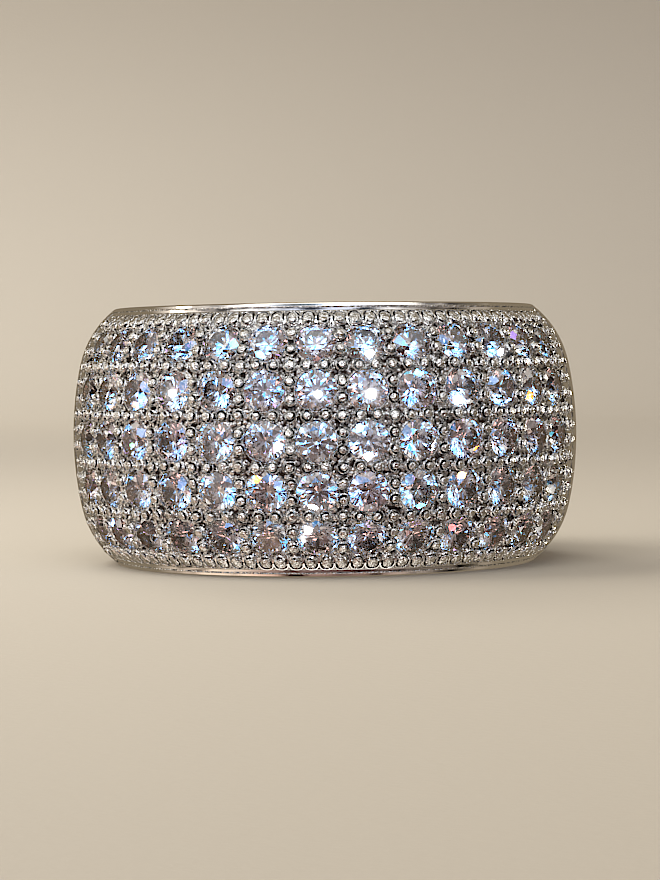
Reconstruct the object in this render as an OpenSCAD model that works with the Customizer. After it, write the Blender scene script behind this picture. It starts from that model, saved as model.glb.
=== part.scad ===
// Wide domed band ring, its front paved with five rows of round stones and its back plain.
// The ring lies on one rim: its axis is +Z and it stands on the plane z = 0, with the stones towards -Y.

/* [Band] */
// Inside diameter of the finger hole, in millimetres
bore_d = 17.4; // [17.2:0.1:17.6]
// Width of the band, from rim to rim
band_w = 11.3; // [11.2:0.1:11.5]
// Diameter of the metal under the stones, at the middle of the width
face_d = 22; // [21.8:0.1:22.4]
// Height of the plain back, and of the rails between the stones, above that metal
rail_h = 0.2; // [0.16:0.02:0.24]
// Width of the rail left between two rows of stones
rail_w = 0.26; // [0.2:0.02:0.28]
// Radius of the gentle arc across the three middle rows
crown_arc = 14.8; // [14:0.2:17]
// Radius of the tighter arc under each outer row
shoulder_arc = 4.1; // [4:0.1:4.3]
// Bevel on both edges of the finger hole
edge_bevel = 0.12; // [0.08:0.01:0.15]

/* [Stones] */
// Columns of stones across the front
columns = 13; // [9:1:14]
// Columns that would go all the way round
columns_round = 32; // [30:1:32]
// Distance between rows, measured over the dome
row_pitch = 2.08; // [2.06:0.01:2.1]
// Diameter of a stone at its girdle
stone_d = 1.7; // [1.6:0.05:1.7]
// Depth of a stone's girdle below the metal that it is set in
girdle_sink = 0.08; // [0.06:0.01:0.14]

/* [Hidden] */

$fn = 96;
rows = 5;
face_steps = 32;
seat_gap = 0.03;
drill_d = 0.5;
drill_depth = 1.1;
overlap = 0.5;

// Proportions of a brilliant cut, as shares of its diameter
table_share = 0.56;
crown_share = 0.15;
girdle_share = 0.03;
pavilion_share = 0.43;

bore_r = bore_d / 2;
half_w = band_w / 2;
cell_turn = 360 / columns_round;
arc_to_deg = 180 / PI;

// The crown arc ends half way between the second and the outer row
join_s = 1.5 * row_pitch;
join_turn = join_s / crown_arc * arc_to_deg;
join_r = face_d / 2 - crown_arc * (1 - cos(join_turn));
join_z = crown_arc * sin(join_turn);
shoulder_r = join_r - shoulder_arc * cos(join_turn);
shoulder_z = join_z - shoulder_arc * sin(join_turn);

// The outside of the band runs down both shoulders until it meets the flat rims
rim_tilt = asin((half_w - shoulder_z) / (shoulder_arc + rail_h));
rim_s = join_s + (rim_tilt - join_turn) * shoulder_arc / arc_to_deg;

// Distance over the dome from its middle to the centre of a row
function row_s(row) = (row - (rows - 1) / 2) * row_pitch;

// Tilt of the dome at a distance s over it from its middle
function tilt(s) =
    abs(s) < join_s
        ? s / crown_arc * arc_to_deg
        : sign(s) * (join_turn + (abs(s) - join_s) / shoulder_arc * arc_to_deg);

// Point of the band's section at a distance s over the dome and a height above the metal under the stones
function dome(s, height = 0) =
    let (
        middle = abs(s) < join_s,
        centre = middle ? [face_d / 2 - crown_arc, half_w] : [shoulder_r, half_w + sign(s) * shoulder_z],
        reach = height + (middle ? crown_arc : shoulder_arc)
    )
    centre + reach * [cos(tilt(s)), sin(tilt(s))];

// Half the width of the straight flat that a row's stones are set in, and the middle of that flat
half_flat = (row_pitch - rail_w) / 2;
function flat_middle(row) = (dome(row_s(row) - half_flat) + dome(row_s(row) + half_flat)) / 2;

// Moves its children onto a row's flat, with their Z axis along the outward normal
module on_flat(turn, row) {
    place = flat_middle(row);
    rotate([0, 0, turn])
        translate([place[0], 0, place[1]])
            rotate([0, 90 - tilt(row_s(row)), 0])
                children();
}

// Repeats its children once for every stone, with the middle column facing -Y
module at_stones() {
    for (row = [0 : rows - 1], column = [0 : columns - 1])
        on_flat((column - (columns - 1) / 2) * cell_turn - 90, row)
            children();
}

// The plain band's section: the finger hole's wall, two flat rims and the dome between them
module band_profile() {
    bottom = [[bore_r, edge_bevel], [bore_r + edge_bevel, 0]];
    top = [for (i = [1 : -1 : 0]) [bottom[i][0], band_w - bottom[i][1]]];
    face = [for (i = [0 : face_steps]) dome((2 * i / face_steps - 1) * rim_s, rail_h)];
    polygon(concat(bottom, face, top));
}

// The channel that a row of stones is set in. It narrows by a quarter of a rail on each side at the
// band's surface, which leaves a rail with sloping sides between two channels.
module channel_profile(row) {
    clear = 1.8;
    polygon([
        for (corner = [[-1, 0], [1, 0], [1, clear], [-1, clear]])
            dome(row_s(row) + corner[0] * (half_flat + corner[1] * rail_w / 4), corner[1] * rail_h)
    ]);
}

// The hole that one stone sits in: a straight wall round the girdle, a cone under it and a drilled point
module seat() {
    girdle_r = stone_d / 2 + seat_gap;
    cone_top = -girdle_sink - stone_d * girdle_share;
    cone_depth = stone_d * pavilion_share * (girdle_r - drill_d / 2) / girdle_r;
    translate([0, 0, cone_top]) cylinder(h = overlap - cone_top, r = girdle_r);
    translate([0, 0, cone_top - cone_depth]) cylinder(h = cone_depth, r1 = drill_d / 2, r2 = girdle_r);
    translate([0, 0, -drill_depth]) cylinder(h = drill_depth + cone_top - cone_depth / 2, d = drill_d);
}

module band() {
    front_turn = columns * cell_turn;
    color("silver")
        difference() {
            rotate_extrude() band_profile();
            rotate([0, 0, -90 - front_turn / 2])
                for (row = [0 : rows - 1])
                    rotate_extrude(angle = front_turn) channel_profile(row);
            at_stones() seat();
        }
}

// A round stone with an eight-sided table, eight crown facets, a girdle and eight pavilion facets
module stone() {
    sides = 8;
    girdle_r = stone_d / 2;
    table_r = girdle_r * table_share;
    levels = [
        [table_r, -girdle_sink + stone_d * crown_share],
        [girdle_r, -girdle_sink],
        [girdle_r, -girdle_sink - stone_d * girdle_share]
    ];
    culet = [0, 0, -girdle_sink - stone_d * (girdle_share + pavilion_share)];
    corners = [
        for (level = levels, side = [0 : sides - 1])
            let (turn = side * 360 / sides)
            [level[0] * cos(turn), level[0] * sin(turn), level[1]]
    ];
    top = [for (side = [sides - 1 : -1 : 0]) side];
    walls = [
        for (level = [0, 1], side = [0 : sides - 1])
            let (next = (side + 1) % sides, above = level * sides, below = above + sides)
            [above + side, above + next, below + next, below + side]
    ];
    point = [
        for (side = [0 : sides - 1])
            [2 * sides + side, 2 * sides + (side + 1) % sides, 3 * sides]
    ];
    polyhedron(points = concat(corners, [culet]), faces = concat([top], walls, point));
}

module stones() {
    color("aliceblue") at_stones() stone();
}

band();
stones();
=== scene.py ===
# A wide domed ring of polished white metal. Five rows of round clear stones pave its front, and its back is
# plain. It lies on one rim, with its axis upright, and every size below is in millimetres.

import math
import random

import bmesh
import bpy
from mathutils import Matrix, Vector


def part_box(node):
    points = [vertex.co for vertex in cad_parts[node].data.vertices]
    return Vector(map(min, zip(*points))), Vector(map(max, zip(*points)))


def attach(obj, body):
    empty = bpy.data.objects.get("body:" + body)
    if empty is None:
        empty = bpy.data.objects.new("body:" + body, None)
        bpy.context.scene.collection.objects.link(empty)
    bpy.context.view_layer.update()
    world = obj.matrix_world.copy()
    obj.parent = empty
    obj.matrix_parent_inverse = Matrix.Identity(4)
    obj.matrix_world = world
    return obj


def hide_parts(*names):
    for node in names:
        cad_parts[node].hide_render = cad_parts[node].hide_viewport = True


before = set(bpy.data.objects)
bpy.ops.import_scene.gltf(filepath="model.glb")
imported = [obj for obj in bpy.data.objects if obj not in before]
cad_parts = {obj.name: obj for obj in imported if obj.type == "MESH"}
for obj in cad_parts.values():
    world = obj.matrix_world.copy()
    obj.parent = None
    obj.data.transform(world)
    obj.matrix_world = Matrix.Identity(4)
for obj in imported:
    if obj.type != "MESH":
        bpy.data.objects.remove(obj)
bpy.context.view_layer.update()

# Casting
# The ring's body is one casting of white metal, rhodium plated and polished. The front of its domed face
# is a grid of round seats, one for each stone, with grainy metal between them. A narrow plain edge frames
# that grid, and the back, the rims and the finger hole are smooth.

MM = 0.001
COLUMNS = 13
COLUMNS_ROUND = 32
ROWS = 5
ROW_PITCH = 2.08
CELL_TURN = 2 * math.pi / COLUMNS_ROUND
FRONT = -math.pi / 2
BAND_W = (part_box("band")[1].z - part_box("band")[0].z) / MM
HALF_W = BAND_W / 2
FACE_R = 11.0
FACE_H = 0.2
BORE_R = 8.7
BORE_BEVEL = 0.12
CROWN_ARC = 14.8
SHOULDER_ARC = 4.1
RAIL_W = 0.26
STONE_R = 0.85
MERGE_GAP = 1e-4

# A gentle arc across the three middle rows joins a tighter one under each outer row
JOIN_S = 1.5 * ROW_PITCH
JOIN_TILT = JOIN_S / CROWN_ARC
JOIN_R = FACE_R - CROWN_ARC * (1 - math.cos(JOIN_TILT))
JOIN_Z = CROWN_ARC * math.sin(JOIN_TILT)
SHOULDER_R = JOIN_R - SHOULDER_ARC * math.cos(JOIN_TILT)
SHOULDER_Z = JOIN_Z - SHOULDER_ARC * math.sin(JOIN_TILT)
RIM_TILT = math.asin((HALF_W - SHOULDER_Z) / (SHOULDER_ARC + FACE_H))
RIM_S = JOIN_S + (RIM_TILT - JOIN_TILT) * SHOULDER_ARC


def tilt(s):
    """Tilt of the dome, at a distance s over it from its middle"""
    if abs(s) < JOIN_S:
        return s / CROWN_ARC
    return math.copysign(JOIN_TILT + (abs(s) - JOIN_S) / SHOULDER_ARC, s)


def dome(s, height=0.0):
    """Radius and height of a point at a distance s over the dome and a height above the metal under the
    stones"""
    if abs(s) < JOIN_S:
        centre, reach = Vector((FACE_R - CROWN_ARC, HALF_W)), CROWN_ARC + height
    else:
        centre, reach = Vector((SHOULDER_R, HALF_W + math.copysign(SHOULDER_Z, s))), SHOULDER_ARC + height
    return centre + reach * Vector((math.cos(tilt(s)), math.sin(tilt(s))))


def turned_to(place, turn):
    """The point at a radius and height, on the side of the axis that a turn gives"""
    return Vector((place[0] * math.cos(turn), place[0] * math.sin(turn), place[1]))


def row_s(row):
    """Distance over the dome from its middle to the middle of a row"""
    return (row - (ROWS - 1) / 2) * ROW_PITCH


def line_s(line):
    """Distance over the dome from its middle to the line below a row"""
    return (line - ROWS / 2) * ROW_PITCH


def column_turn(column):
    """Turn of a column of stones, the middle one facing the viewer"""
    return FRONT + (column - (COLUMNS - 1) / 2) * CELL_TURN


def flat_middle(row):
    """Radius and height of the metal under the middle of a row of stones"""
    half_flat = (ROW_PITCH - RAIL_W) / 2
    return (dome(row_s(row) - half_flat) + dome(row_s(row) + half_flat)) / 2


def upright(place, turn, lean):
    """Axes at a radius and height, with Z along the outward normal, X down the dome and Y round it"""
    move = Matrix.Translation((place[0], 0, place[1]))
    return Matrix.Rotation(turn, 4, "Z") @ move @ Matrix.Rotation(math.pi / 2 - lean, 4, "Y")


def stone_axes(row, column):
    """Axes at the middle of one stone's seat"""
    return upright(flat_middle(row), column_turn(column), tilt(row_s(row)))


def face_axes(s, turn):
    """Axes on the metal under the stones, at a distance s over the dome and a turn"""
    return upright(dome(s), turn, tilt(s))


def as_template(shape):
    """A mesh made from a shape, to be stamped where it is needed"""
    mesh = bpy.data.meshes.new("template")
    shape.to_mesh(mesh)
    shape.free()
    return mesh


def stamp(shape, template, place):
    """Adds a copy of a template to a shape, moved into place"""
    copy = template.copy()
    copy.transform(place)
    shape.from_mesh(copy)
    bpy.data.meshes.remove(copy)


def metal_shape():
    """An empty shape whose points each store how deep they lie between the stones, which sets how much
    shade is painted on the metal there
    """
    shape = bmesh.new()
    shape.verts.layers.float.new("recess")
    return shape


def strip(shape, lines, recesses):
    """Joins lines of points, all of one length, into a surface"""
    recess = shape.verts.layers.float["recess"]
    rows = [[shape.verts.new(point) for point in line] for line in lines]
    for row, value in zip(rows, recesses):
        for corner in row:
            corner[recess] = value
    for first, second in zip(rows, rows[1:]):
        for corners in zip(first, first[1:], second[1:], second):
            shape.faces.new(corners)


def turned(rings, sides, cap=False):
    """A shape of rings, each a radius, a height and a recess, joined from the first to the last"""
    shape = metal_shape()
    around = [2 * math.pi * step / sides for step in range(sides + 1)]
    lines = [[turned_to((radius, height), turn) for turn in around] for radius, height, value in rings]
    strip(shape, lines, [value for radius, height, value in rings])
    bmesh.ops.remove_doubles(shape, verts=shape.verts, dist=MERGE_GAP)
    if cap:
        foot = rings[0][1] + MERGE_GAP
        top = [edge for edge in shape.edges if edge.is_boundary and edge.verts[0].co.z > foot]
        face = bmesh.ops.contextual_create(shape, geom=top)["faces"]
        bmesh.ops.poke(shape, faces=face, offset=0)
    bmesh.ops.recalc_face_normals(shape, faces=shape.faces)
    return shape


def as_piece(name, shape, material, crease=None):
    """Makes a piece of the ring from a shape in millimetres. Edges sharper than the crease stay sharp"""
    bmesh.ops.scale(shape, vec=(MM, MM, MM), verts=shape.verts)
    mesh = bpy.data.meshes.new(name)
    shape.to_mesh(mesh)
    shape.free()
    mesh.polygons.foreach_set("use_smooth", [crease is not None] * len(mesh.polygons))
    if crease is not None:
        mesh.set_sharp_from_angle(angle=math.radians(crease))
    mesh.materials.append(material)
    piece = bpy.data.objects.new(name, mesh)
    bpy.context.scene.collection.objects.link(piece)
    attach(piece, "root")
    return piece


def node_material(name):
    """A new material with its nodes, its links and its Principled shader"""
    material = bpy.data.materials.new(name)
    material.use_nodes = True
    nodes, links = material.node_tree.nodes, material.node_tree.links
    return material, nodes, links, nodes["Principled BSDF"]


def ranged(nodes, links, source, low, high, start=0.0, end=1.0):
    """A value that goes from start to end while its source goes from low to high"""
    node = nodes.new("ShaderNodeMapRange")
    for name, value in zip(("From Min", "From Max", "To Min", "To Max"), (low, high, start, end)):
        node.inputs[name].default_value = value
    links.new(source, node.inputs["Value"])
    return node.outputs["Result"]


def combined(nodes, links, operation, first, second):
    """The result of an operation on two values"""
    node = nodes.new("ShaderNodeMath")
    node.operation = operation
    links.new(first, node.inputs[0])
    links.new(second, node.inputs[1])
    return node.outputs[0]


GRAIN_SCALE = 6000
GRAIN_DEPTH = 0.06
# Distance from a grain's middle where the painted shade on its edge starts, and where it ends
GRAIN_SHADE = 0.45
GRAIN_EDGE = 0.7
RIPPLE_SCALE = 8000
# Depth of the ripple on polished and on unpolished metal, as a share of the grain's depth
POLISHED_RIPPLE = 0.03
RIPPLE_DEPTH = 1.3
# A recess of 0 is polished smooth. These are the others, the last for the seat under a stone, which is
# painted a darker brown as shade. Towards GRAINY the grains and the painted shade between them grow, and
# towards
# GROOVE a groove fills with painted shade
UNPOLISHED = 0.1
GRAINY = 0.5
GROOVE = 1
SHADED_SEAT = -1
PLATING = (0.88, 0.89, 0.87, 1)
# Painted shade: the near-black tone of the grooves and of the edges between the grains
PAINTED_SHADE_TONE = (0.06, 0.048, 0.042, 1)
# Level of the ripple where a groove's painted shade is thinnest and where it is full, and the share that is
# left where it is thinnest
GROOVE_SHADE_PATCHES = (0.4, 0.55, 0.25)
# Roughness of the plating, and of the metal under full painted shade
PLATING_ROUGHNESS = 0.06
SHADE_ROUGHNESS = 0.4
# Painted shade: a darker brown tone for the seat under each stone, deep in its recess
SEAT_SHADE_TONE = (0.5, 0.34, 0.27, 1)


def polished_white_metal():
    """Bright rhodium plating, which its points' recesses make uneven or grainy. They also paint shade
    between the grains and in the grooves, and a darker brown shade on the seats under the stones
    """
    material, nodes, links, shader = node_material("polished white metal")
    shader.inputs["Metallic"].default_value = 1
    place = nodes.new("ShaderNodeTexCoord")
    depth = nodes.new("ShaderNodeAttribute")
    depth.attribute_name = "recess"
    grains = nodes.new("ShaderNodeTexVoronoi")
    grains.inputs["Scale"].default_value = GRAIN_SCALE
    ripple = nodes.new("ShaderNodeTexNoise")
    ripple.inputs["Scale"].default_value = RIPPLE_SCALE
    ripple.inputs["Detail"].default_value = 2
    for pattern in (grains, ripple):
        links.new(place.outputs["Object"], pattern.inputs["Vector"])
    grained = ranged(nodes, links, depth.outputs["Fac"], 0, GRAINY)
    groove = ranged(nodes, links, depth.outputs["Fac"], GRAINY, GROOVE)
    crevice = ranged(nodes, links, grains.outputs["Distance"], GRAIN_SHADE, GRAIN_EDGE)
    rise = ranged(nodes, links, grains.outputs["Distance"], 0, GRAIN_EDGE, 1, 0)
    uneven = ranged(nodes, links, depth.outputs["Fac"], 0, UNPOLISHED, POLISHED_RIPPLE, RIPPLE_DEPTH)
    fine = combined(nodes, links, "MULTIPLY", uneven, ripple.outputs["Fac"])
    coarse = combined(nodes, links, "MULTIPLY", grained, rise)
    height = combined(nodes, links, "ADD", coarse, fine)
    # Painted shade between the grains, and in the grooves, where it is thinner in patches
    patchy = ranged(nodes, links, ripple.outputs["Fac"], *GROOVE_SHADE_PATCHES)
    groove_shade = combined(nodes, links, "MULTIPLY", groove, patchy)
    shade = combined(nodes, links, "MULTIPLY", grained, crevice)
    painted_shade = combined(nodes, links, "MAXIMUM", shade, groove_shade)
    bump = nodes.new("ShaderNodeBump")
    bump.inputs["Strength"].default_value = 1
    bump.inputs["Distance"].default_value = GRAIN_DEPTH * MM
    links.new(height, bump.inputs["Height"])
    links.new(bump.outputs["Normal"], shader.inputs["Normal"])
    roughness = ranged(nodes, links, painted_shade, 0, 1, PLATING_ROUGHNESS, SHADE_ROUGHNESS)
    links.new(roughness, shader.inputs["Roughness"])
    tone = nodes.new("ShaderNodeValToRGB")
    tone.color_ramp.elements[0].color = PLATING
    tone.color_ramp.elements[1].color = PAINTED_SHADE_TONE
    # The seats under the stones are painted a darker brown as shade
    seat_shade = nodes.new("ShaderNodeMix")
    seat_shade.data_type = "RGBA"
    seat_shade.inputs["B"].default_value = SEAT_SHADE_TONE
    links.new(painted_shade, tone.inputs["Fac"])
    links.new(ranged(nodes, links, depth.outputs["Fac"], 0, SHADED_SEAT), seat_shade.inputs["Factor"])
    links.new(tone.outputs["Color"], seat_shade.inputs["A"])
    links.new(seat_shade.outputs["Result"], shader.inputs["Base Color"])
    return material


CELL_SIDES = 32
FLOOR_H = -0.14
# Radius, height and recess of the rings round a stone: its seat, its lip and the metal outside the lip. The
# seat is painted a darker brown as shade, and the lip's inner edge gets painted shade
SEAT_RINGS = [
    (0.2, -0.85, SHADED_SEAT),
    (0.79, -0.18, SHADED_SEAT),
    (0.85, -0.1, 0.7),
    (0.885, -0.07, 0.1),
    (0.915, -0.1, 0.2),
    (0.945, FLOOR_H, 0.5),
]
LIP_END_R = SEAT_RINGS[-1][0] + 0.01
# One more ring, past a cell's corners, is drawn in to its outline
OUTLINE_RING = (1.5, FLOOR_H, GRAINY)
# The lines round the field: a trough, then a strip and a fine line along the rims, and a plain slope at the
# sides. Each has its distance outside the field and its height, by a rim and then at a side, and its
# recess.
# The recesses paint shade between the grains of the trough and of the fine line
FRAME_STEPS = [
    (0, FLOOR_H, 0, FLOOR_H, 0.5),
    (0.3, FLOOR_H, 0.15, FLOOR_H, 0.5),
    (0.44, 0, 0.4, -0.06, 0.3),
    (0.51, 0.04, 0.7, 0.02, 0),
    (0.59, 0.11, 1.0, 0.11, 0),
    (0.61, 0.08, 1.08, 0.135, 0.4),
    (0.63, 0.08, 1.14, 0.155, 0.4),
    (0.65, 0.15, 1.2, 0.175, 0),
    (0.725, FACE_H, 1.28, FACE_H, 0),
]
FRAME_W = FRAME_STEPS[-1][0]
FRAME_SIDE_W = FRAME_STEPS[-1][2]
BACK_STEPS = 128
# Places along the bend between the dome and a rim
RIM_BEND = (0, 0.2, 0.4, 0.6, 0.8, 1)
# How far in the rounded middle of the finger hole's bevel is, as a share of the bevel
BEVEL_MIDDLE = 0.25
SEAM_GAP = 2e-3


def cell_places(count):
    """Places along the edges of a line of cells, from -1 to 1, at the corners of the cells' outlines"""
    quarter = CELL_SIDES // 8
    shares = [math.tan(math.pi / 4 * step / quarter) for step in range(-quarter, quarter)]
    return [(2 * cell + 1 + share) / count - 1 for cell in range(count) for share in shares] + [1]


def seat_cell(row):
    """The metal round one stone, in the stone's own axes, out to the corners of a rectangle"""
    half_width = flat_middle(row)[0] * CELL_TURN / 2
    cell = turned([*SEAT_RINGS, OUTLINE_RING], CELL_SIDES)
    for corner in cell.verts:
        if corner.co.xy.length > LIP_END_R:
            across = corner.co.xy / max(abs(corner.co.x), abs(corner.co.y))
            corner.co = (across.x * ROW_PITCH / 2, across.y * half_width, FLOOR_H)
    return cell


def paved_column():
    """One column of cells, each cell's outline bent onto the dome so that it meets its neighbours"""
    column = metal_shape()
    for row in range(ROWS):
        cell = seat_cell(row)
        half_width = flat_middle(row)[0] * CELL_TURN / 2
        place = stone_axes(row, 0)
        for corner in cell.verts:
            x, y, height = corner.co
            if corner.co.xy.length > LIP_END_R:
                turn = column_turn(0) + y / half_width * CELL_TURN / 2
                corner.co = turned_to(dome(row_s(row) - x, height), turn)
            else:
                corner.co = place @ corner.co
        stamp(column, as_template(cell), Matrix())
    return as_template(column)


def field_turns(offset):
    """Turns across the field, or across a line that runs round it at a distance"""
    half_turn = COLUMNS * CELL_TURN / 2 + offset / FACE_R
    return [FRONT + half_turn * share for share in cell_places(COLUMNS)]


def field_heights(offset):
    """Distances over the dome, from the line below the field to the line above it"""
    return [(line_s(ROWS) + offset) * share for share in cell_places(ROWS)]


def frame_line(offset, height, side_offset, side_height):
    """A closed line round the field"""
    turns, heights = field_turns(side_offset), field_heights(offset)
    below = [(heights[0], height, turn) for turn in turns]
    right = [(s, side_height, turns[-1]) for s in heights[1:-1]]
    above = [(heights[-1], height, turn) for turn in reversed(turns)]
    left = [(s, side_height, turns[0]) for s in reversed(heights[:-1])]
    return [turned_to(dome(s, height), turn) for s, height, turn in below + right + above + left]


def plain_back_and_rims(shape):
    """Adds the smooth back of the dome, both rims and the wall of the finger hole"""
    front = field_turns(FRAME_SIDE_W)
    way_round = 2 * math.pi - front[-1] + front[0]
    back = [front[-1] + way_round * step / BACK_STEPS for step in range(BACK_STEPS + 1)]
    heights = field_heights(FRAME_W)
    strip(shape, [[turned_to(dome(s, FACE_H), turn) for turn in back] for s in heights], [0] * len(heights))
    before = dome(heights[-1], FACE_H)
    corner = dome(RIM_S, FACE_H)
    after = Vector((corner.x - RIM_S + heights[-1], BAND_W))
    bend = [
        (1 - share) ** 2 * before + 2 * share * (1 - share) * corner + share**2 * after
        for share in RIM_BEND
    ]
    half_section = [
        *bend,
        Vector((BORE_R + BORE_BEVEL, BAND_W)),
        Vector((BORE_R + BORE_BEVEL * BEVEL_MIDDLE, BAND_W - BORE_BEVEL * BEVEL_MIDDLE)),
        Vector((BORE_R, BAND_W - BORE_BEVEL)),
    ]
    section = half_section + [Vector((r, BAND_W - z)) for r, z in reversed(half_section)]
    turns = front + back[1:]
    strip(shape, [[turned_to(place, turn) for turn in turns] for place in section], [0] * len(section))


casting = metal_shape()
column_of_cells = paved_column()
for column in range(COLUMNS):
    stamp(casting, column_of_cells, Matrix.Rotation(column * CELL_TURN, 4, "Z"))
strip(casting, [frame_line(*row[:4]) for row in FRAME_STEPS], [row[4] for row in FRAME_STEPS])
plain_back_and_rims(casting)
bmesh.ops.remove_doubles(casting, verts=casting.verts, dist=SEAM_GAP)
bmesh.ops.recalc_face_normals(casting, faces=casting.faces)
white_metal = polished_white_metal()
band = as_piece("casting", casting, white_metal, crease=35)
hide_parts("band")

# Beads and collars
# Small round beads of the same metal stand between the stones. Three to a stone line both sides of every
# row, and a pair between two stones of a row hold their edges down. Two more lines of them close the field
# at each side. A thin lip runs round each bead, with a groove on both sides of it that is dark with painted
# shade.

BEADS_PER_CELL = 3
BEAD_R = 0.175
BEAD_H = 0.12
BEAD_SIDES = 12
# Share of a bead's radius and of its height over the metal at each level from its foot up, and its recess.
# The foot, down in its groove, gets painted shade
BEAD_LEVELS = [
    (1.0, -0.9, 1),
    (1.0, 0.5, 0.4),
    (0.95, 0.78, 0.1),
    (0.72, 0.92, 0.1),
    (0.38, 0.98, 0.1),
]
# Radius, height and recess of the rings round a bead: a groove, the lip and the groove outside it. Both
# grooves get painted shade
COLLAR_RINGS = [
    (0.165, -0.1, 0.8),
    (0.19, -0.09, 0.8),
    (0.205, -0.03, 0.1),
    (0.245, 0.01, 0.1),
    (0.28, -0.04, 0.1),
    (0.3, -0.11, 0.8),
    (0.34, -0.16, 0.4),
]
# How far from the middle of its row each bead of a pair stands
BEAD_PAIR = ROW_PITCH / 6
# How far outside the field the two more lines of beads stand at each side
SIDE_LINES = [0.42, 0.88]
SIDE_BEADS_H = 0.09
# The most that a bead strays from its place and leans, and its smallest and its largest size
WANDER = 0.025
LEAN = math.radians(10)
BEAD_SIZES = (0.85, 1.1)
random.seed(7)


def bead_line_turns():
    """Turns of the beads along one line, from one side of the field to the other"""
    for step in range(COLUMNS * BEADS_PER_CELL + 1):
        yield column_turn(step / BEADS_PER_CELL - 0.5)


def side_turns():
    """Turns of the lines of beads outside the field"""
    for distance in SIDE_LINES:
        for side in (-1, 1):
            yield FRONT + side * (COLUMNS * CELL_TURN / 2 + distance / FACE_R)


def bead_places():
    """Distance over the dome, height over the metal and turn of every bead"""
    for line in range(ROWS + 1):
        for turn in bead_line_turns():
            yield line_s(line), 0, turn
    for row in range(ROWS):
        for column in range(COLUMNS + 1):
            for side in (-1, 1):
                yield row_s(row) + side * BEAD_PAIR, 0, column_turn(column - 0.5)
    for turn in side_turns():
        for step in range(ROWS * BEADS_PER_CELL + 1):
            yield line_s(step / BEADS_PER_CELL), SIDE_BEADS_H, turn


def bead_template():
    """A round-topped bead that goes down into its groove"""
    rings = [(share * BEAD_R, rise * BEAD_H, value) for share, rise, value in BEAD_LEVELS]
    bead = turned(rings, BEAD_SIDES, cap=True)
    top = min(bead.verts, key=lambda corner: corner.co.xy.length)
    top.co.z = BEAD_H
    top[bead.verts.layers.float["recess"]] = UNPOLISHED
    return as_template(bead)


beads = metal_shape()
collars = metal_shape()
bead = bead_template()
collar = as_template(turned(COLLAR_RINGS, BEAD_SIDES))
for s, height, turn in bead_places():
    drift = Vector([random.uniform(-WANDER, WANDER) for axis in range(3)]) + Vector((0, 0, height))
    size = random.uniform(*BEAD_SIZES)
    lean = Matrix.Rotation(random.uniform(-LEAN, LEAN), 4, "X")
    lean = lean @ Matrix.Rotation(random.uniform(-LEAN, LEAN), 4, "Y")
    place = face_axes(s, turn) @ Matrix.Translation(drift) @ lean
    stamp(beads, bead, place @ Matrix.Scale(size, 4))
    stamp(collars, collar, place)
bead_rows = as_piece("beads", beads, white_metal, crease=70)
bead_collars = as_piece("bead_collars", collars, white_metal, crease=70)

# Edge lobes
# Outside every bead along both rims the casting runs out in a short round-ended lobe. It has a thin rim,
# a groove inside that and a raised middle, and its outline and groove are dark with painted shade. The
# lobes reach over a trough, darkened by painted shade between its grains, nearly to the plain strip.

LOBE_HALF_L = 0.42
LOBE_HALF_W = 0.34
# How far outside the last line of beads the middle of a lobe is
LOBE_OUT = 0.09
LOBE_SIDES = 20
# The outline's power, which is 2 for an ellipse and more for one nearer to a rectangle
LOBE_SQUARE = 2.6
# Where along a lobe its sloping start ends, how steep that is, and the most that its recess is
SLOPE_END = -0.05
SLOPE = 0.8
SLOPE_RECESS = 0.4
# How far each edge of a lobe is set in from its outline, its height and its recess. The recess paints shade
# on the outline and in the groove
LOBE_STEPS = [
    (0, FLOOR_H - 0.04, 1),
    (0.001, 0.02, 0.8),
    (0.015, 0.045, 0),
    (0.05, 0.045, 0),
    (0.06, -0.03, 1),
    (0.13, -0.03, 1),
    (0.14, 0.05, 0.1),
    (0.2, 0.08, 0.1),
]


def lobe_template():
    """One lobe, its length along X. Every point but its middle one is drawn in to the lobe's outline"""
    rings = [(1 - inset, height, value) for inset, height, value in LOBE_STEPS]
    lobe = turned(rings, LOBE_SIDES, cap=True)
    recess = lobe.verts.layers.float["recess"]
    for corner in lobe.verts:
        inset = 1 - corner.co.xy.length
        if inset < 0.5:
            across = corner.co.xy.normalized()
            square = (abs(across.x) ** LOBE_SQUARE + abs(across.y) ** LOBE_SQUARE) ** (-1 / LOBE_SQUARE)
            corner.co.x = across.x * square * (LOBE_HALF_L - inset)
            corner.co.y = across.y * square * (LOBE_HALF_W - inset)
        if corner.co.x < SLOPE_END:
            corner.co.z -= (SLOPE_END - corner.co.x) * SLOPE
            corner[recess] = min(corner[recess], SLOPE_RECESS)
    return as_template(lobe)


lobes = metal_shape()
lobe = lobe_template()
for side in (-1, 1):
    for turn in [*bead_line_turns(), *side_turns()]:
        place = face_axes(side * (line_s(ROWS) + LOBE_OUT), turn)
        stamp(lobes, lobe, place @ Matrix.Rotation(math.pi / 2 * (1 + side), 4, "Z"))
edge_lobes = as_piece("edge_lobes", lobes, white_metal, crease=40)

# Stones
# Clear round stones, cut as brilliants and pressed into their seats. Every facet is ground flat on a round
# blank, as a cutter does it: the table, the crown's three kinds of facet and the pavilion's two.

GIRDLE_SINK = 0.08
IOR = 2.15
# Range of a stone's clarity, and of the share of it that each colour has
CLARITY = (0.76, 0.92)
TINTS = (0.95, 1)
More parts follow.
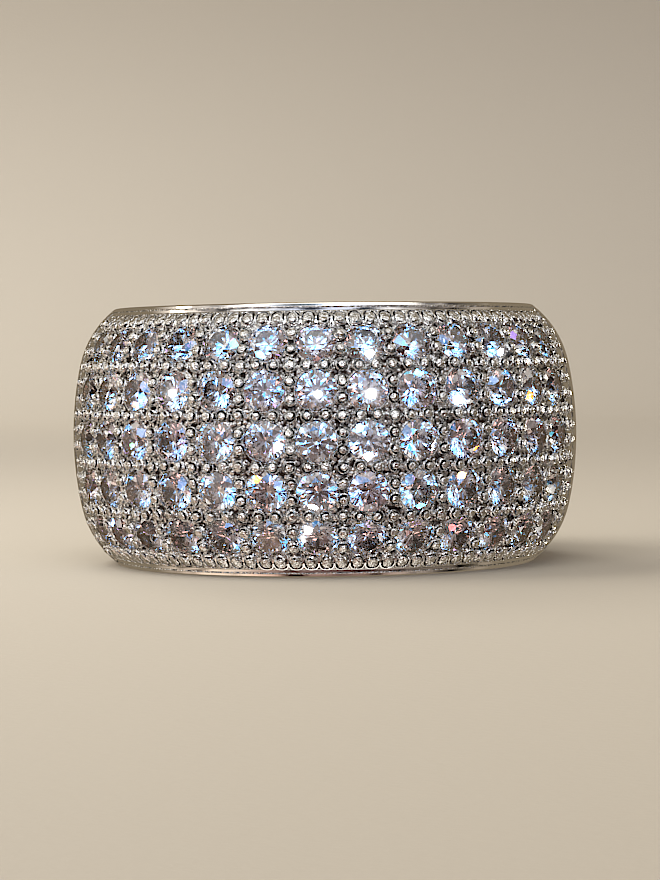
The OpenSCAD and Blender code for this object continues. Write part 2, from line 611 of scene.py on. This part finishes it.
# The sizes below are shares of a stone's diameter, and the tilts are in degrees
GIRDLE_R = 0.5
GIRDLE_T = 0.03
BLANK_SIDES = 32
BLANK_DEPTH = 2
TABLE_H = 0.151
CROWN_TILT = 34.5
STAR_TILT = 22.0
BREAK_TILT = 41.07
MAIN_TILT = 40.75
LOWER_TILT = 41.9
STAR_REACH = 0.2587
BREAK_REACH = 0.4904
EIGHTH = math.radians(45)
SWAY = math.radians(2.5)
# Each kind of facet: how many, the turn of the first, its tilt, and a radius and a height that it passes
# through. The first three are on the crown, and the other two on the pavilion
FACETS = [
    (8, 0, CROWN_TILT, GIRDLE_R, 0),
    (8, EIGHTH / 2, STAR_TILT, STAR_REACH, TABLE_H),
    (16, EIGHTH / 4, BREAK_TILT, BREAK_REACH, 0),
    (8, 0, 180 - MAIN_TILT, GIRDLE_R, -GIRDLE_T),
    (16, EIGHTH / 4, 180 - LOWER_TILT, BREAK_REACH, -GIRDLE_T),
]


def grind(stone, point, normal):
    """Cuts away what lies past a plane, and closes the cut with one flat facet"""
    cut = bmesh.ops.bisect_plane(
        stone,
        geom=stone.verts[:] + stone.edges[:] + stone.faces[:],
        dist=1e-5,
        plane_co=point,
        plane_no=normal,
        clear_outer=True,
    )
    edges = [part for part in cut["geom_cut"] if isinstance(part, bmesh.types.BMEdge)]
    bmesh.ops.contextual_create(stone, geom=edges)


def brilliant():
    """One stone with a diameter of 1, its girdle's upper edge at height 0"""
    stone = bmesh.new()
    bmesh.ops.create_cone(
        stone,
        cap_ends=True,
        segments=BLANK_SIDES,
        radius1=GIRDLE_R,
        radius2=GIRDLE_R,
        depth=BLANK_DEPTH,
        matrix=Matrix(),
    )
    grind(stone, (0, 0, TABLE_H), (0, 0, 1))
    for count, first, lean, radius, height in FACETS:
        lean_r = math.radians(lean)
        for step in range(count):
            turn = first + step * 2 * math.pi / count
            out = Vector((math.cos(turn), math.sin(turn), 0))
            normal = out * math.sin(lean_r) + Vector((0, 0, math.cos(lean_r)))
            grind(stone, out * radius + Vector((0, 0, height)), normal)
    bmesh.ops.recalc_face_normals(stone, faces=stone.faces)
    return as_template(stone)


def clear_stone():
    """Colourless, highly refracting crystal, with a faint tint that differs from stone to stone"""
    material, nodes, links, shader = node_material("clear stone")
    shader.inputs["Roughness"].default_value = 0.0
    shader.inputs["IOR"].default_value = IOR
    shader.inputs["Transmission Weight"].default_value = 1
    tint = nodes.new("ShaderNodeAttribute")
    tint.attribute_name = "tint"
    links.new(tint.outputs["Color"], shader.inputs["Base Color"])
    return material


stones_shape = bmesh.new()
cut_stone = brilliant()
cut_stone.attributes.new("tint", "FLOAT_COLOR", "CORNER")
stone_places = {}
for row in range(ROWS):
    for column in range(COLUMNS):
        sway = Matrix.Rotation(random.uniform(-SWAY, SWAY), 4, "X")
        sway = sway @ Matrix.Rotation(random.uniform(-SWAY, SWAY), 4, "Y")
        roll = Matrix.Rotation(random.uniform(0, EIGHTH), 4, "Z")
        sink = Matrix.Translation((0, 0, -GIRDLE_SINK))
        place = stone_axes(row, column) @ sink @ sway @ roll @ Matrix.Scale(2 * STONE_R, 4)
        clarity = random.uniform(*CLARITY)
        tint = (*[clarity * random.uniform(*TINTS) for channel in range(3)], 1.0)
        cut_stone.attributes["tint"].data.foreach_set("color", tint * len(cut_stone.loops))
        stamp(stones_shape, cut_stone, place)
        stone_places[row, column] = place
field = as_piece("pave_stones", stones_shape, clear_stone())
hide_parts("stones")

# Surface
# A plain pale surface that the ring lies on. It curves up behind the ring into a plain backdrop, and
# neither the metal nor the stones mirror it.

SWEEP_W = 1400
SWEEP_FRONT = 700
SWEEP_BACK = 240
SWEEP_CURVE = 80
SWEEP_STEPS = 12
SWEEP_HEIGHT = 700
PALE = (0.476, 0.434, 0.357, 1)
PALE_ROUGHNESS = 0.75
SWEEP_GRAIN_SCALE = 2500
SWEEP_GRAIN_STRENGTH = 0.15
SWEEP_GRAIN_DEPTH = 0.1


def pale_sweep():
    """A plain matt finish with a fine grain"""
    material, nodes, links, shader = node_material("pale surface")
    shader.inputs["Base Color"].default_value = PALE
    shader.inputs["Roughness"].default_value = PALE_ROUGHNESS
    place = nodes.new("ShaderNodeTexCoord")
    grain = nodes.new("ShaderNodeTexNoise")
    grain.inputs["Scale"].default_value = SWEEP_GRAIN_SCALE
    bump = nodes.new("ShaderNodeBump")
    bump.inputs["Strength"].default_value = SWEEP_GRAIN_STRENGTH
    bump.inputs["Distance"].default_value = SWEEP_GRAIN_DEPTH * MM
    links.new(place.outputs["Object"], grain.inputs["Vector"])
    links.new(grain.outputs["Fac"], bump.inputs["Height"])
    links.new(bump.outputs["Normal"], shader.inputs["Normal"])
    return material


sweep = bmesh.new()
section = [(-SWEEP_FRONT, 0), (SWEEP_BACK, 0)]
for step in range(1, SWEEP_STEPS + 1):
    bend = math.pi / 2 * step / SWEEP_STEPS
    section.append((SWEEP_BACK + SWEEP_CURVE * math.sin(bend), SWEEP_CURVE * (1 - math.cos(bend))))
section.append((SWEEP_BACK + SWEEP_CURVE, SWEEP_HEIGHT))
corners = [sweep.verts.new((-SWEEP_W / 2, y, z)) for y, z in section]
edges = [sweep.edges.new(pair) for pair in zip(corners, corners[1:])]
wide = bmesh.ops.extrude_edge_only(sweep, edges=edges)["geom"]
far_side = [part for part in wide if isinstance(part, bmesh.types.BMVert)]
bmesh.ops.translate(sweep, vec=(SWEEP_W, 0, 0), verts=far_side)
bmesh.ops.recalc_face_normals(sweep, faces=sweep.faces)
bmesh.ops.scale(sweep, vec=(MM, MM, MM), verts=sweep.verts)
sweep_mesh = bpy.data.meshes.new("sweep")
sweep.to_mesh(sweep_mesh)
sweep.free()
sweep_mesh.polygons.foreach_set("use_smooth", [True] * len(sweep_mesh.polygons))
sweep_mesh.materials.append(pale_sweep())
surface = bpy.data.objects.new("surface", sweep_mesh)
bpy.context.scene.collection.objects.link(surface)
surface.visible_glossy = False
surface.visible_transmission = False
surface.visible_shadow = False

# Camera
# It looks a little down on the ring from just above its middle, 110 mm from its axis. The sizes in pixels
# are those of a picture 880 pixels high.

PICTURE_LONG = 880
SENSOR_W = 36
FOCAL_PX = 2457
EYE_DISTANCE = 110
EYE_HEIGHT = HALF_W + 3.2
EYE_TURN = math.radians(1.8)
EYE_DOWN = math.radians(1.82)
EYE_ROLL = math.radians(0.7)
AXIS_LEFT_PX = 5

camera_data = bpy.data.cameras.new("camera")
camera_data.sensor_width = SENSOR_W
camera_data.lens = SENSOR_W * FOCAL_PX / PICTURE_LONG
camera_data.shift_x = AXIS_LEFT_PX / PICTURE_LONG
camera_data.clip_start = 0.001
camera_data.clip_end = 10
camera = bpy.data.objects.new("camera", camera_data)
bpy.context.scene.collection.objects.link(camera)
camera.matrix_world = (
    Matrix.Rotation(EYE_TURN, 4, "Z")
    @ Matrix.Translation((0, -EYE_DISTANCE * MM, EYE_HEIGHT * MM))
    @ Matrix.Rotation(math.pi / 2 - EYE_DOWN, 4, "X")
    @ Matrix.Rotation(-EYE_ROLL, 4, "Z")
)
bpy.context.scene.camera = camera

# Studio
# Soft boxes and small lamps stand round the ring in a softly lit room. The metal and the stones mirror
# both, and some lights shine on one kind of piece alone.


def soft_box(centre, away, distance, width, height, strength, colour):
    """A lit oval at a distance from a point, which it faces. Its strength is its radiance"""
    light = bpy.data.lights.new("soft box", "AREA")
    light.shape = "ELLIPSE"
    light.size, light.size_y = width * MM, height * MM
    light.energy = strength * math.pi**3 / 4 * light.size * light.size_y
    light.color = colour
    lamp = bpy.data.objects.new("soft box", light)
    bpy.context.scene.collection.objects.link(lamp)
    lamp.location = (centre + away * distance) * MM
    lamp.rotation_euler = away.to_track_quat("Z", "Y").to_euler()
    lamp.visible_camera = False
    return lamp


def heading(turn, rise):
    """The way to a light. A turn of 0 is in front, and positive to the right"""
    turn, rise = math.radians(turn), math.radians(rise)
    return Vector((math.sin(turn) * math.cos(rise), -math.cos(turn) * math.cos(rise), math.sin(rise)))


def spark(row, column, lean, facet, size, strength, colour):
    """A small lamp where a facet of one stone's crown mirrors it to the camera. The table leans by 0"""
    place = stone_places[row, column]
    turn = facet * EIGHTH
    out = Vector((math.cos(turn), math.sin(turn), 0))
    reach, rise = ON_TABLE if lean == 0 else ON_CROWN
    spot = place @ (out * reach + Vector((0, 0, TABLE_H * rise)))
    lean = math.radians(lean)
    normal = (place.to_3x3() @ (out * math.sin(lean) + Vector((0, 0, math.cos(lean))))).normalized()
    view = (camera.matrix_world.translation / MM - spot).normalized()
    lamp = soft_box(spot, 2 * view.dot(normal) * normal - view, LAMP_DISTANCE, size, size, strength, colour)
    lamp.light_linking.receiver_collection = stones_only


WARM = (1, 0.96, 0.9)
COOL = (0.05, 0.4, 1.0)
WHITE = (0.95, 0.97, 1.0)
CYAN = (0.15, 0.75, 1.0)
BLUE = (0.25, 0.5, 1.0)
VIOLET = (0.5, 0.3, 1.0)
GREEN = (0.3, 1.0, 0.45)
YELLOW = (1.0, 0.85, 0.3)
ORANGE = (1.0, 0.28, 0.03)
RED = (1.0, 0.2, 0.2)
PINK = (1.0, 0.5, 0.45)
LAMP_DISTANCE = 300
# Where a facet shows its spark: how far out from the stone's middle, as a share of its diameter, and how
# high, as a share of the table's height
ON_TABLE = (0.13, 1)
ON_CROWN = (0.37, 0.6)
# Turn, rise, width, height, radiance and colour of each broad light
BROAD_LIGHTS = [
    (-84, 20, 50, 260, 0.7, WARM),
    (-8, 60, 200, 130, 0.5, WARM),
    (0, -85, 200, 200, 0.3, WARM),
]
# The same for the lights that only the stones show: a broad cool one in front of the ring, smaller ones
# that give their facets patches of colour, and broad warm ones at both sides
STONE_LIGHTS = [
    (-2, 36, 240, 180, 0.9, COOL),
    (-11, 10, 50, 50, 1.8, BLUE),
    (12, 30, 50, 50, 1.8, CYAN),
    (34, 10, 40, 40, 1.8, BLUE),
    (-34, 38, 60, 60, 1.8, BLUE),
    (-11, 70, 50, 50, 1.6, CYAN),
    (34, 38, 60, 60, 1.8, BLUE),
    (-61, 9, 30, 30, 1.5, VIOLET),
    (11, -32, 90, 90, 0.7, PINK),
    (-33, -32, 50, 50, 0.9, VIOLET),
    (56, -6, 40, 40, 1.4, CYAN),
    (-79, -32, 40, 40, 1.2, ORANGE),
    (-108, 50, 160, 140, 0.8, WARM),
    (104, 50, 140, 140, 0.6, WARM),
    (-85, -33, 120, 50, 1.3, WARM),
    (80, -33, 120, 50, 1.1, WARM),
]
# The same for the lights that only the beads, their collars and the lobes show
BEAD_LIGHTS = [
    (130, 8, 70, 130, 3.0, WARM),
    (-130, 8, 50, 130, 1.4, WARM),
    (0, 16, 200, 120, 1.3, WHITE),
]
# The same for the light high behind the ring. Only the casting shows it, on its plain back and upper rim
BACK_LIGHTS = [
    (172, 64, 200, 80, 0.8, WARM),
]
# Middle of the patch that it lights, turn, rise, distance, width, height, radiance and colour of each light
# that only the surface shows
SURFACE_LIGHTS = [
    ((-35, 20, 0), -80, 62, 110, 90, 90, 1.6, WARM),
    ((0, -20, 0), 0, 80, 150, 100, 100, 0.8, WARM),
    ((-40, 300, 0), -80, 62, 250, 220, 220, 1.4, WARM),
]
# Row, column, tilt and number of the facet that mirrors each small lamp, and the lamp's size, radiance and
# colour. Facet 0 points to the lower rim and facet 2 to the right, before the stone's own roll
SPARKS = [
    (3, 6, 0, 0, 1.3, 24, WHITE),
    (3, 7, 0, 0, 1.7, 24, WHITE),
    (3, 3, 0, 1, 1.3, 24, WHITE),
    (4, 7, CROWN_TILT, 0, 2, 16, WHITE),
    (3, 9, CROWN_TILT, 7, 2, 16, WHITE),
    (4, 10, CROWN_TILT, 0, 2, 14, WHITE),
    (2, 5, CROWN_TILT, 1, 2, 14, WHITE),
    (2, 7, CROWN_TILT, 7, 2, 14, WHITE),
    (2, 8, CROWN_TILT, 1, 2, 12, WHITE),
    (1, 6, CROWN_TILT, 7, 2, 14, WHITE),
    (0, 6, CROWN_TILT, 4, 2, 16, WHITE),
    (4, 5, CROWN_TILT, 7, 2, 6, CYAN),
    (4, 4, CROWN_TILT, 1, 2, 6, CYAN),
    (3, 8, CROWN_TILT, 4, 2, 6, CYAN),
    (3, 2, CROWN_TILT, 1, 2, 6, CYAN),
    (1, 8, CROWN_TILT, 0, 2, 6, CYAN),
    (2, 7, CROWN_TILT, 4, 2, 6, CYAN),
    (3, 3, CROWN_TILT, 4, 2, 6, CYAN),
    (3, 10, CROWN_TILT, 0, 2, 6, BLUE),
    (0, 4, CROWN_TILT, 6, 2, 6, BLUE),
    (0, 1, CROWN_TILT, 4, 2, 6, BLUE),
    (2, 9, CROWN_TILT, 0, 4, 9, ORANGE),
    (1, 5, CROWN_TILT, 4, 3, 7, ORANGE),
    (3, 11, CROWN_TILT, 6, 2, 5, ORANGE),
    (1, 9, CROWN_TILT, 4, 2, 6, YELLOW),
    (2, 2, CROWN_TILT, 4, 3, 6, VIOLET),
    (4, 11, CROWN_TILT, 5, 2, 2.2, VIOLET),
    (2, 2, 0, 0, 0.8, 4, GREEN),
    (0, 9, CROWN_TILT, 4, 1.2, 4, RED),
]


def only(name, pieces):
    """A group of the only objects that a light shines on"""
    group = bpy.data.collections.new(name)
    for piece in pieces:
        group.objects.link(piece)
    return group


stones_only = only("stones only", [field])
beads_only = only("beads only", [bead_rows, bead_collars, edge_lobes])
casting_only = only("casting only", [band])
surface_only = only("surface only", [surface])
for lights, group in (
    (BROAD_LIGHTS, None),
    (STONE_LIGHTS, stones_only),
    (BEAD_LIGHTS, beads_only),
    (BACK_LIGHTS, casting_only),
):
    for turn, rise, *look in lights:
        lamp = soft_box(Vector((0, 0, HALF_W)), heading(turn, rise), LAMP_DISTANCE, *look)
        lamp.light_linking.receiver_collection = group
for glint in SPARKS:
    spark(*glint)
for centre, turn, rise, *look in SURFACE_LIGHTS:
    lamp = soft_box(Vector(centre), heading(turn, rise), *look)
    lamp.light_linking.receiver_collection = surface_only

# Sine of the elevation, and the colour of the room there
ROOM = [
    (-1.0, (0.8, 0.74, 0.68)),
    (-0.85, (0.45, 0.39, 0.34)),
    (-0.5, (0.45, 0.39, 0.34)),
    (-0.1, (0.75, 0.68, 0.61)),
    (0.2, (1.0, 0.94, 0.88)),
    (0.8, (1.1, 1.06, 1.02)),
    (1.0, (0.45, 0.39, 0.33)),
]
# Level of a soft pattern of light and shade over the room, and the share of the colour that shows there
PATCHES = [(0.38, 0.1), (0.45, 0.45), (0.52, 1.05), (0.62, 1.4)]
PATCH_SCALE = 3.0
# What the camera sees past the surface
BACKDROP = (0.5, 0.43, 0.34, 1)
# Behind the ring the room is plain. That part fades in while a direction's Y goes between these values
BEHIND = (0.24, 0.19, 0.13, 1)
BEHIND_FROM = (-0.15, 0.3)
# The way to each darker, brighter or cooler part of the room, the cosines at its outside and its inside,
# and its tint
TINTED_PARTS = [
    (heading(68, -4), 0.78, 0.9, (0.25, 0.24, 0.23, 1)),
    (heading(3, -16), 0.62, 0.94, (0.31, 0.27, 0.28, 1)),
    (heading(0, -38), 0.7, 0.95, (1.0, 0.78, 0.71, 1)),
    (heading(-55, -48), 0.7, 0.95, (2.0, 1.9, 1.8, 1)),
    (heading(0, 28), 0.88, 0.97, (1.0, 1.06, 1.18, 1)),
    (heading(0, 20), 0.3, 0.9, (0.9, 0.97, 1.12, 1)),
    (heading(-80, 0), 0.3, 0.9, (0.95, 0.86, 0.79, 1)),
    (heading(80, 0), 0.3, 0.9, (0.92, 0.83, 0.77, 1)),
]


def shaded(nodes, links, source, stops):
    """A colour ramp with a stop for each place and colour"""
    shades = nodes.new("ShaderNodeValToRGB")
    ramp = shades.color_ramp
    for number, (place, colour) in enumerate(stops):
        stop = ramp.elements[number] if number < 2 else ramp.elements.new(0.999)
        stop.position = place
        stop.color = (*colour, 1)
    links.new(source, shades.inputs["Fac"])
    return shades.outputs["Color"]


def blended(nodes, links, kind, factor, first, second):
    """Two colours mixed by a factor. The second is a plain colour"""
    node = nodes.new("ShaderNodeMix")
    node.data_type = "RGBA"
    node.blend_type = kind
    links.new(factor, node.inputs["Factor"])
    links.new(first, node.inputs["A"])
    node.inputs["B"].default_value = second
    return node.outputs["Result"]


def towards(nodes, links, source, way):
    """How nearly a direction is the same as a given one"""
    node = nodes.new("ShaderNodeVectorMath")
    node.operation = "DOT_PRODUCT"
    node.inputs[1].default_value = way
    links.new(source, node.inputs[0])
    return node.outputs["Value"]


def room():
    """A room with soft patches of light and shade, and one plain pale colour past the surface"""
    world = bpy.data.worlds.new("room")
    world.use_nodes = True
    nodes, links = world.node_tree.nodes, world.node_tree.links
    direction = nodes.new("ShaderNodeTexCoord").outputs["Generated"]
    split = nodes.new("ShaderNodeSeparateXYZ")
    links.new(direction, split.inputs[0])
    patches = nodes.new("ShaderNodeTexNoise")
    patches.inputs["Scale"].default_value = PATCH_SCALE
    patches.inputs["Detail"].default_value = 1
    links.new(direction, patches.inputs["Vector"])
    share = ranged(nodes, links, split.outputs["Z"], -1, 1)
    colours = shaded(nodes, links, share, [((sine + 1) / 2, colour) for sine, colour in ROOM])
    greys = [(level, (value,) * 3) for level, value in PATCHES]
    levels = shaded(nodes, links, patches.outputs["Fac"], greys)
    lit = nodes.new("ShaderNodeVectorMath")
    lit.operation = "MULTIPLY"
    links.new(colours, lit.inputs[0])
    links.new(levels, lit.inputs[1])
    shown = lit.outputs["Vector"]
    for way, outside, inside, tint in TINTED_PARTS:
        nearness = ranged(nodes, links, towards(nodes, links, direction, way), outside, inside)
        shown = blended(nodes, links, "MULTIPLY", nearness, shown, tint)
    behind = ranged(nodes, links, split.outputs["Y"], *BEHIND_FROM)
    closed = blended(nodes, links, "MIX", behind, shown, BEHIND)
    seen = nodes.new("ShaderNodeLightPath").outputs["Is Camera Ray"]
    links.new(blended(nodes, links, "MIX", seen, closed, BACKDROP), nodes["Background"].inputs["Color"])
    return world


bpy.context.scene.world = room()

# Picture
# Short rays round the brightest glints, and the crisp edges of a close-up. What is brighter than white is
# cut off before the edges are sharpened.

STREAKS = 6
GLINT_LEVEL = 2.0
GLINT_STRENGTH = 0.2
GLINT_STEPS = 2
GLINT_FADE = 0.8
CRISPNESS = 0.07

bpy.context.scene.use_nodes = True
nodes, links = bpy.context.scene.node_tree.nodes, bpy.context.scene.node_tree.links
glints = nodes.new("CompositorNodeGlare")
glints.glare_type = "STREAKS"
glints.quality = "HIGH"
glints.inputs["Threshold"].default_value = GLINT_LEVEL
glints.inputs["Strength"].default_value = GLINT_STRENGTH
glints.inputs["Streaks"].default_value = STREAKS
glints.inputs["Iterations"].default_value = GLINT_STEPS
glints.inputs["Fade"].default_value = GLINT_FADE
full_white = nodes.new("CompositorNodeMixRGB")
full_white.use_clamp = True
full_white.inputs["Fac"].default_value = 0
edges = nodes.new("CompositorNodeFilter")
edges.filter_type = "SHARPEN"
edges.inputs["Fac"].default_value = CRISPNESS
links.new(nodes["Render Layers"].outputs["Image"], glints.inputs["Image"])
links.new(glints.outputs["Image"], full_white.inputs[1])
links.new(full_white.outputs["Image"], edges.inputs["Image"])
links.new(edges.outputs["Image"], nodes["Composite"].inputs["Image"])

cycles = bpy.context.scene.cycles
cycles.max_bounces = 24
cycles.transmission_bounces = 20
cycles.glossy_bounces = 8
cycles.use_denoising = True
bpy.context.scene.view_settings.view_transform = "Standard"
